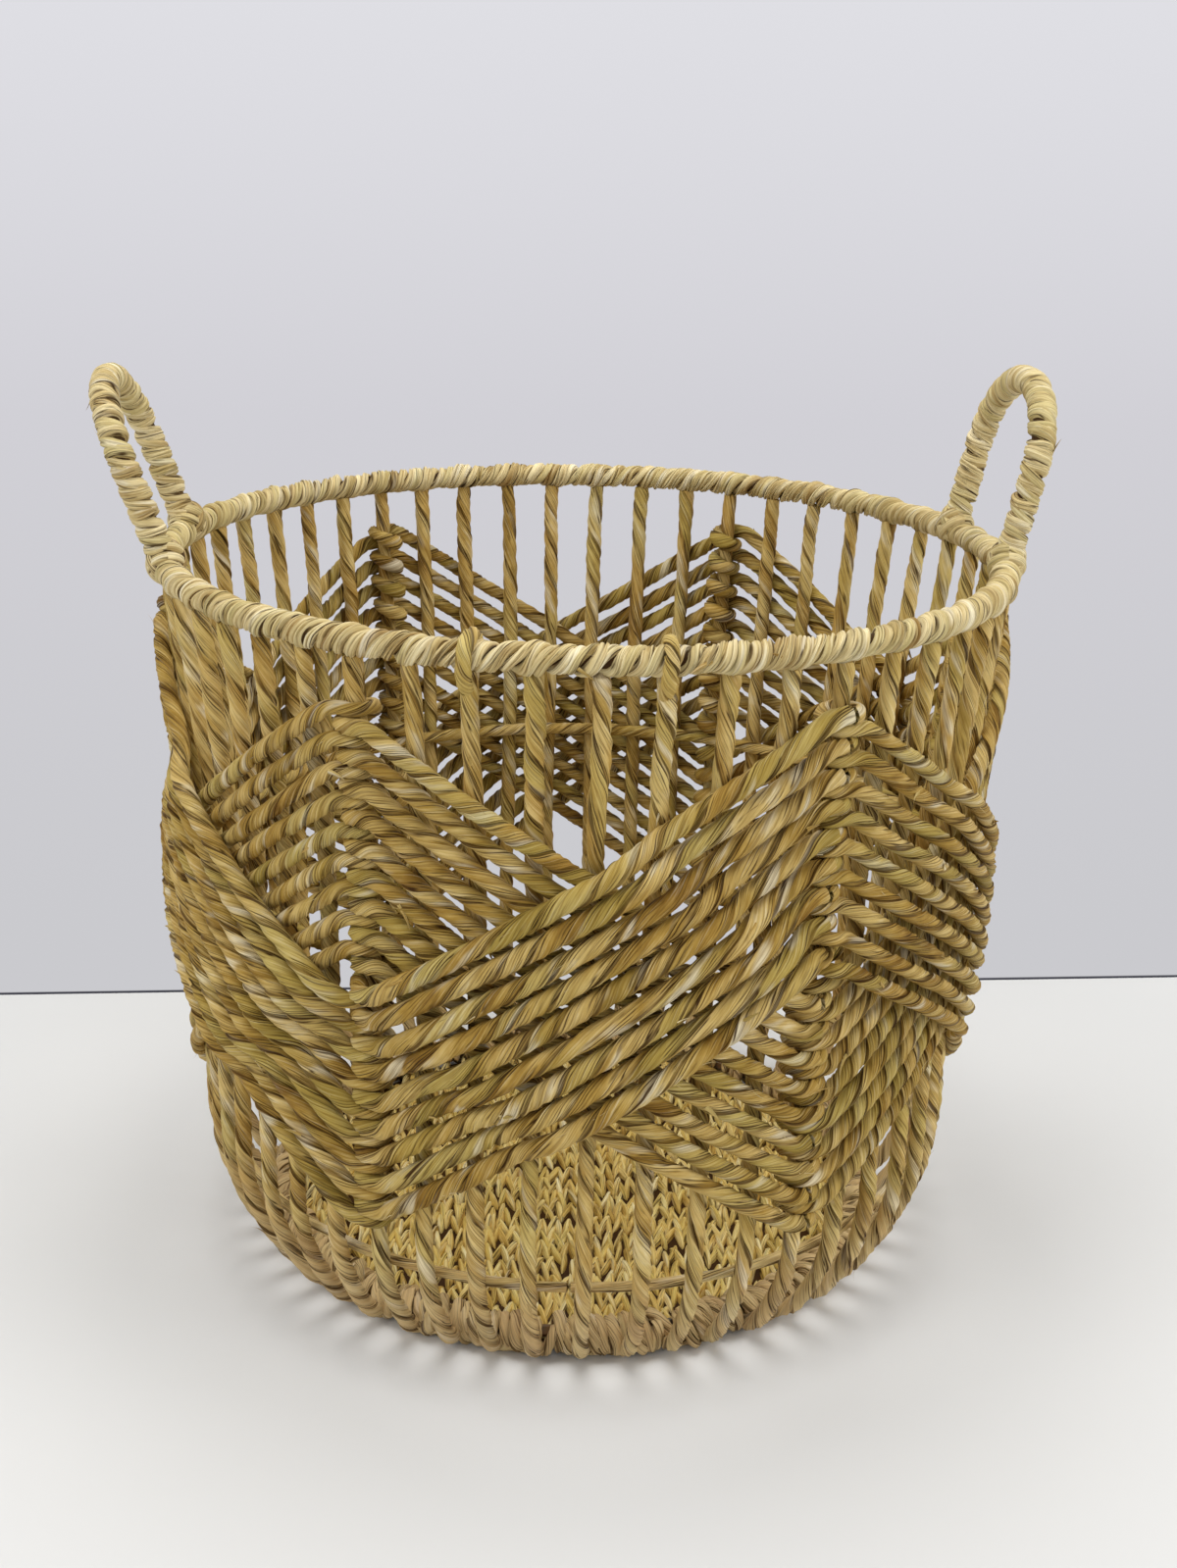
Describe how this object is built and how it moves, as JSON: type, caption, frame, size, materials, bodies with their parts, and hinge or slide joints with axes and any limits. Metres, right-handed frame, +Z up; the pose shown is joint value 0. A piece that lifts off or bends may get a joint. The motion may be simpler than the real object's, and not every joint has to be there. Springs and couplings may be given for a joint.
{
  "type": "laundry basket",
  "caption": "Round open-work laundry basket of twisted seagrass cord: upright stakes, two crossing zigzag bands, wound rim, two upright loop handles and a braided base.",
  "frame": {"origin": "on the floor, at the centre of the flat underside of the base mat", "axes": "+Z up along the basket's axis, -Y towards the side that the picture shows, handles at -X and +X"},
  "size_m": [0.4502, 0.4307, 0.4423],
  "materials": {
    "stake_cord": "twisted dry seagrass, olive gold, matte with a slight leaf sheen",
    "strand_cord": "twisted dry seagrass, golden tan, matte with a slight leaf sheen",
    "pale_wrap": "pale straw cord wound tightly, matte",
    "hoop_cord": "thin twisted seagrass over a hoop, matte",
    "base_braid": "braided pale yellow seagrass, matte",
    "frame_wire": "drawn iron wire, dull"
  },
  "bodies": {
    "root": {"wall_cord_1": "stake_cord", "wall_cord_2": "stake_cord", "wall_cord_3": "stake_cord", "wall_cord_4": "stake_cord", "wall_cord_5": "stake_cord", "wall_cord_6": "stake_cord", "wall_cord_7": "stake_cord", "wall_cord_8": "stake_cord", "wall_cord_9": "stake_cord", "wall_cord_10": "stake_cord", "wall_cord_11": "stake_cord", "wall_cord_12": "stake_cord", "wall_cord_13": "stake_cord", "wall_cord_14": "stake_cord", "wall_cord_15": "stake_cord", "wall_cord_16": "stake_cord", "wall_cord_17": "stake_cord", "wall_cord_18": "stake_cord", "wall_cord_19": "stake_cord", "wall_cord_20": "stake_cord", "wall_cord_21": "stake_cord", "wall_cord_22": "stake_cord", "wall_cord_23": "stake_cord", "wall_cord_24": "stake_cord", "inner_strand_1": "strand_cord", "inner_strand_2": "strand_cord", "inner_strand_3": "strand_cord", "inner_strand_4": "strand_cord", "inner_strand_5": "strand_cord", "inner_strand_6": "strand_cord", "inner_strand_7": "strand_cord", "inner_strand_8": "strand_cord", "inner_strand_9": "strand_cord", "outer_strand_1": "strand_cord", "outer_strand_2": "strand_cord", "outer_strand_3": "strand_cord", "outer_strand_4": "strand_cord", "outer_strand_5": "strand_cord", "outer_strand_6": "strand_cord", "outer_strand_7": "strand_cord", "outer_strand_8": "strand_cord", "outer_strand_9": "strand_cord", "rim_wrap_front": "pale_wrap", "rim_wrap_right": "pale_wrap", "rim_wrap_back": "pale_wrap", "rim_wrap_left": "pale_wrap", "handle_wrap_left": "pale_wrap", "handle_wrap_right": "pale_wrap", "rim_wire": "frame_wire", "handle_wire_left": "frame_wire", "handle_wire_right": "frame_wire", "mid_hoop": "hoop_cord", "lower_hoop": "hoop_cord", "base_hoop": "frame_wire", "base_mat": "base_braid"}
  },
  "joints": []
}
